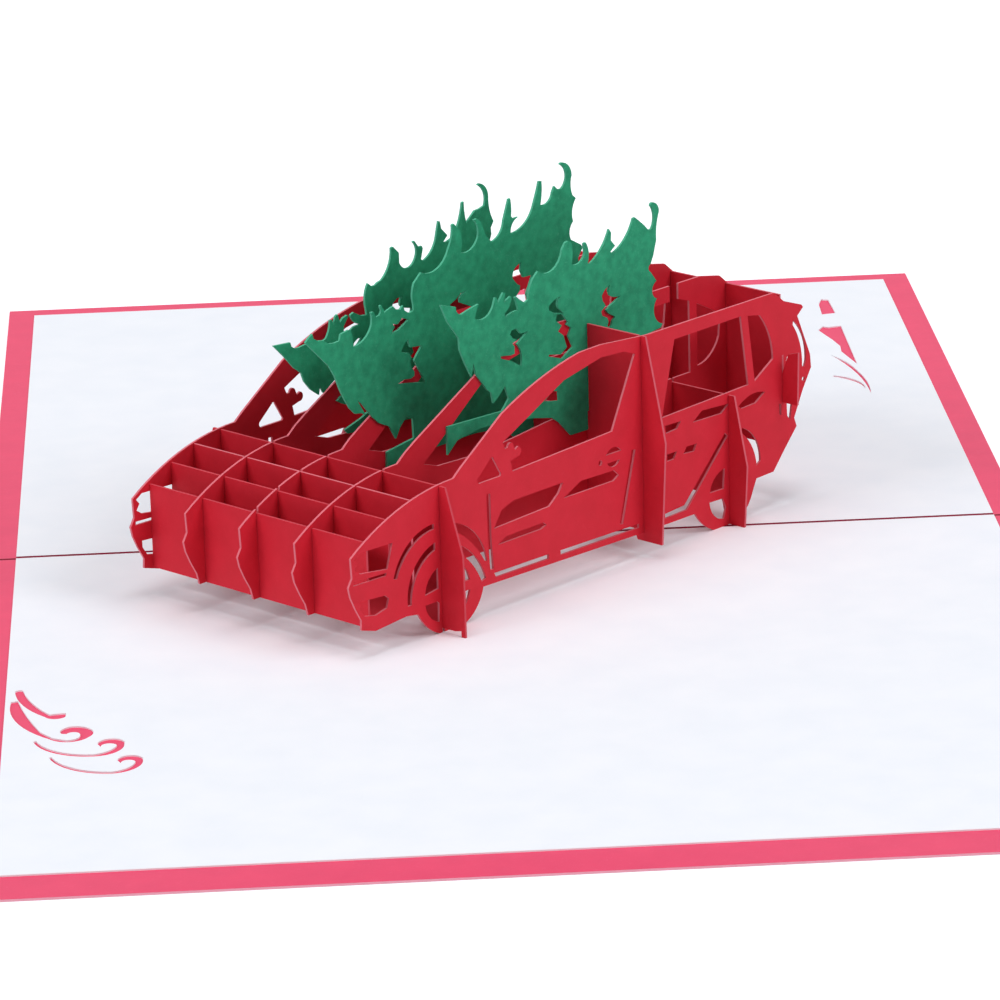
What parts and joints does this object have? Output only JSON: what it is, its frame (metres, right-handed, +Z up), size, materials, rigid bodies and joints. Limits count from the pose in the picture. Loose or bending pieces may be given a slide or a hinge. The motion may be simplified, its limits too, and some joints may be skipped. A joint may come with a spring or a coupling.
{
  "type": "pop up card",
  "caption": "Pop-up greeting card opened flat, with a red lattice car cut from card and a green fir tree lying on its roof.",
  "frame": {"origin": "middle of the fold, on the underside of the opened card", "axes": "+X along the fold, +Y towards the back half, +Z up out of the card"},
  "size_m": [0.172, 0.301, 0.0615],
  "materials": {
    "cover_card": "matte",
    "liner_paper": "matte",
    "red_card": "matte",
    "green_card": "matte"
  },
  "bodies": {
    "root": {"card_cover": "cover_card", "liner_front": "liner_paper", "liner_back": "liner_paper", "side_plate_near": "red_card", "side_plate_far": "red_card", "rib_near": "red_card", "rib_middle": "red_card", "rib_far": "red_card", "nose_plate": "red_card", "hood_plate_front": "red_card", "hood_plate_back": "red_card", "front_axle_plate": "red_card", "pillar_plate": "red_card", "rear_axle_plate": "red_card", "tailgate_plate": "red_card", "tree_slice_near": "green_card", "tree_slice_middle": "green_card", "tree_slice_far": "green_card"}
  },
  "joints": []
}
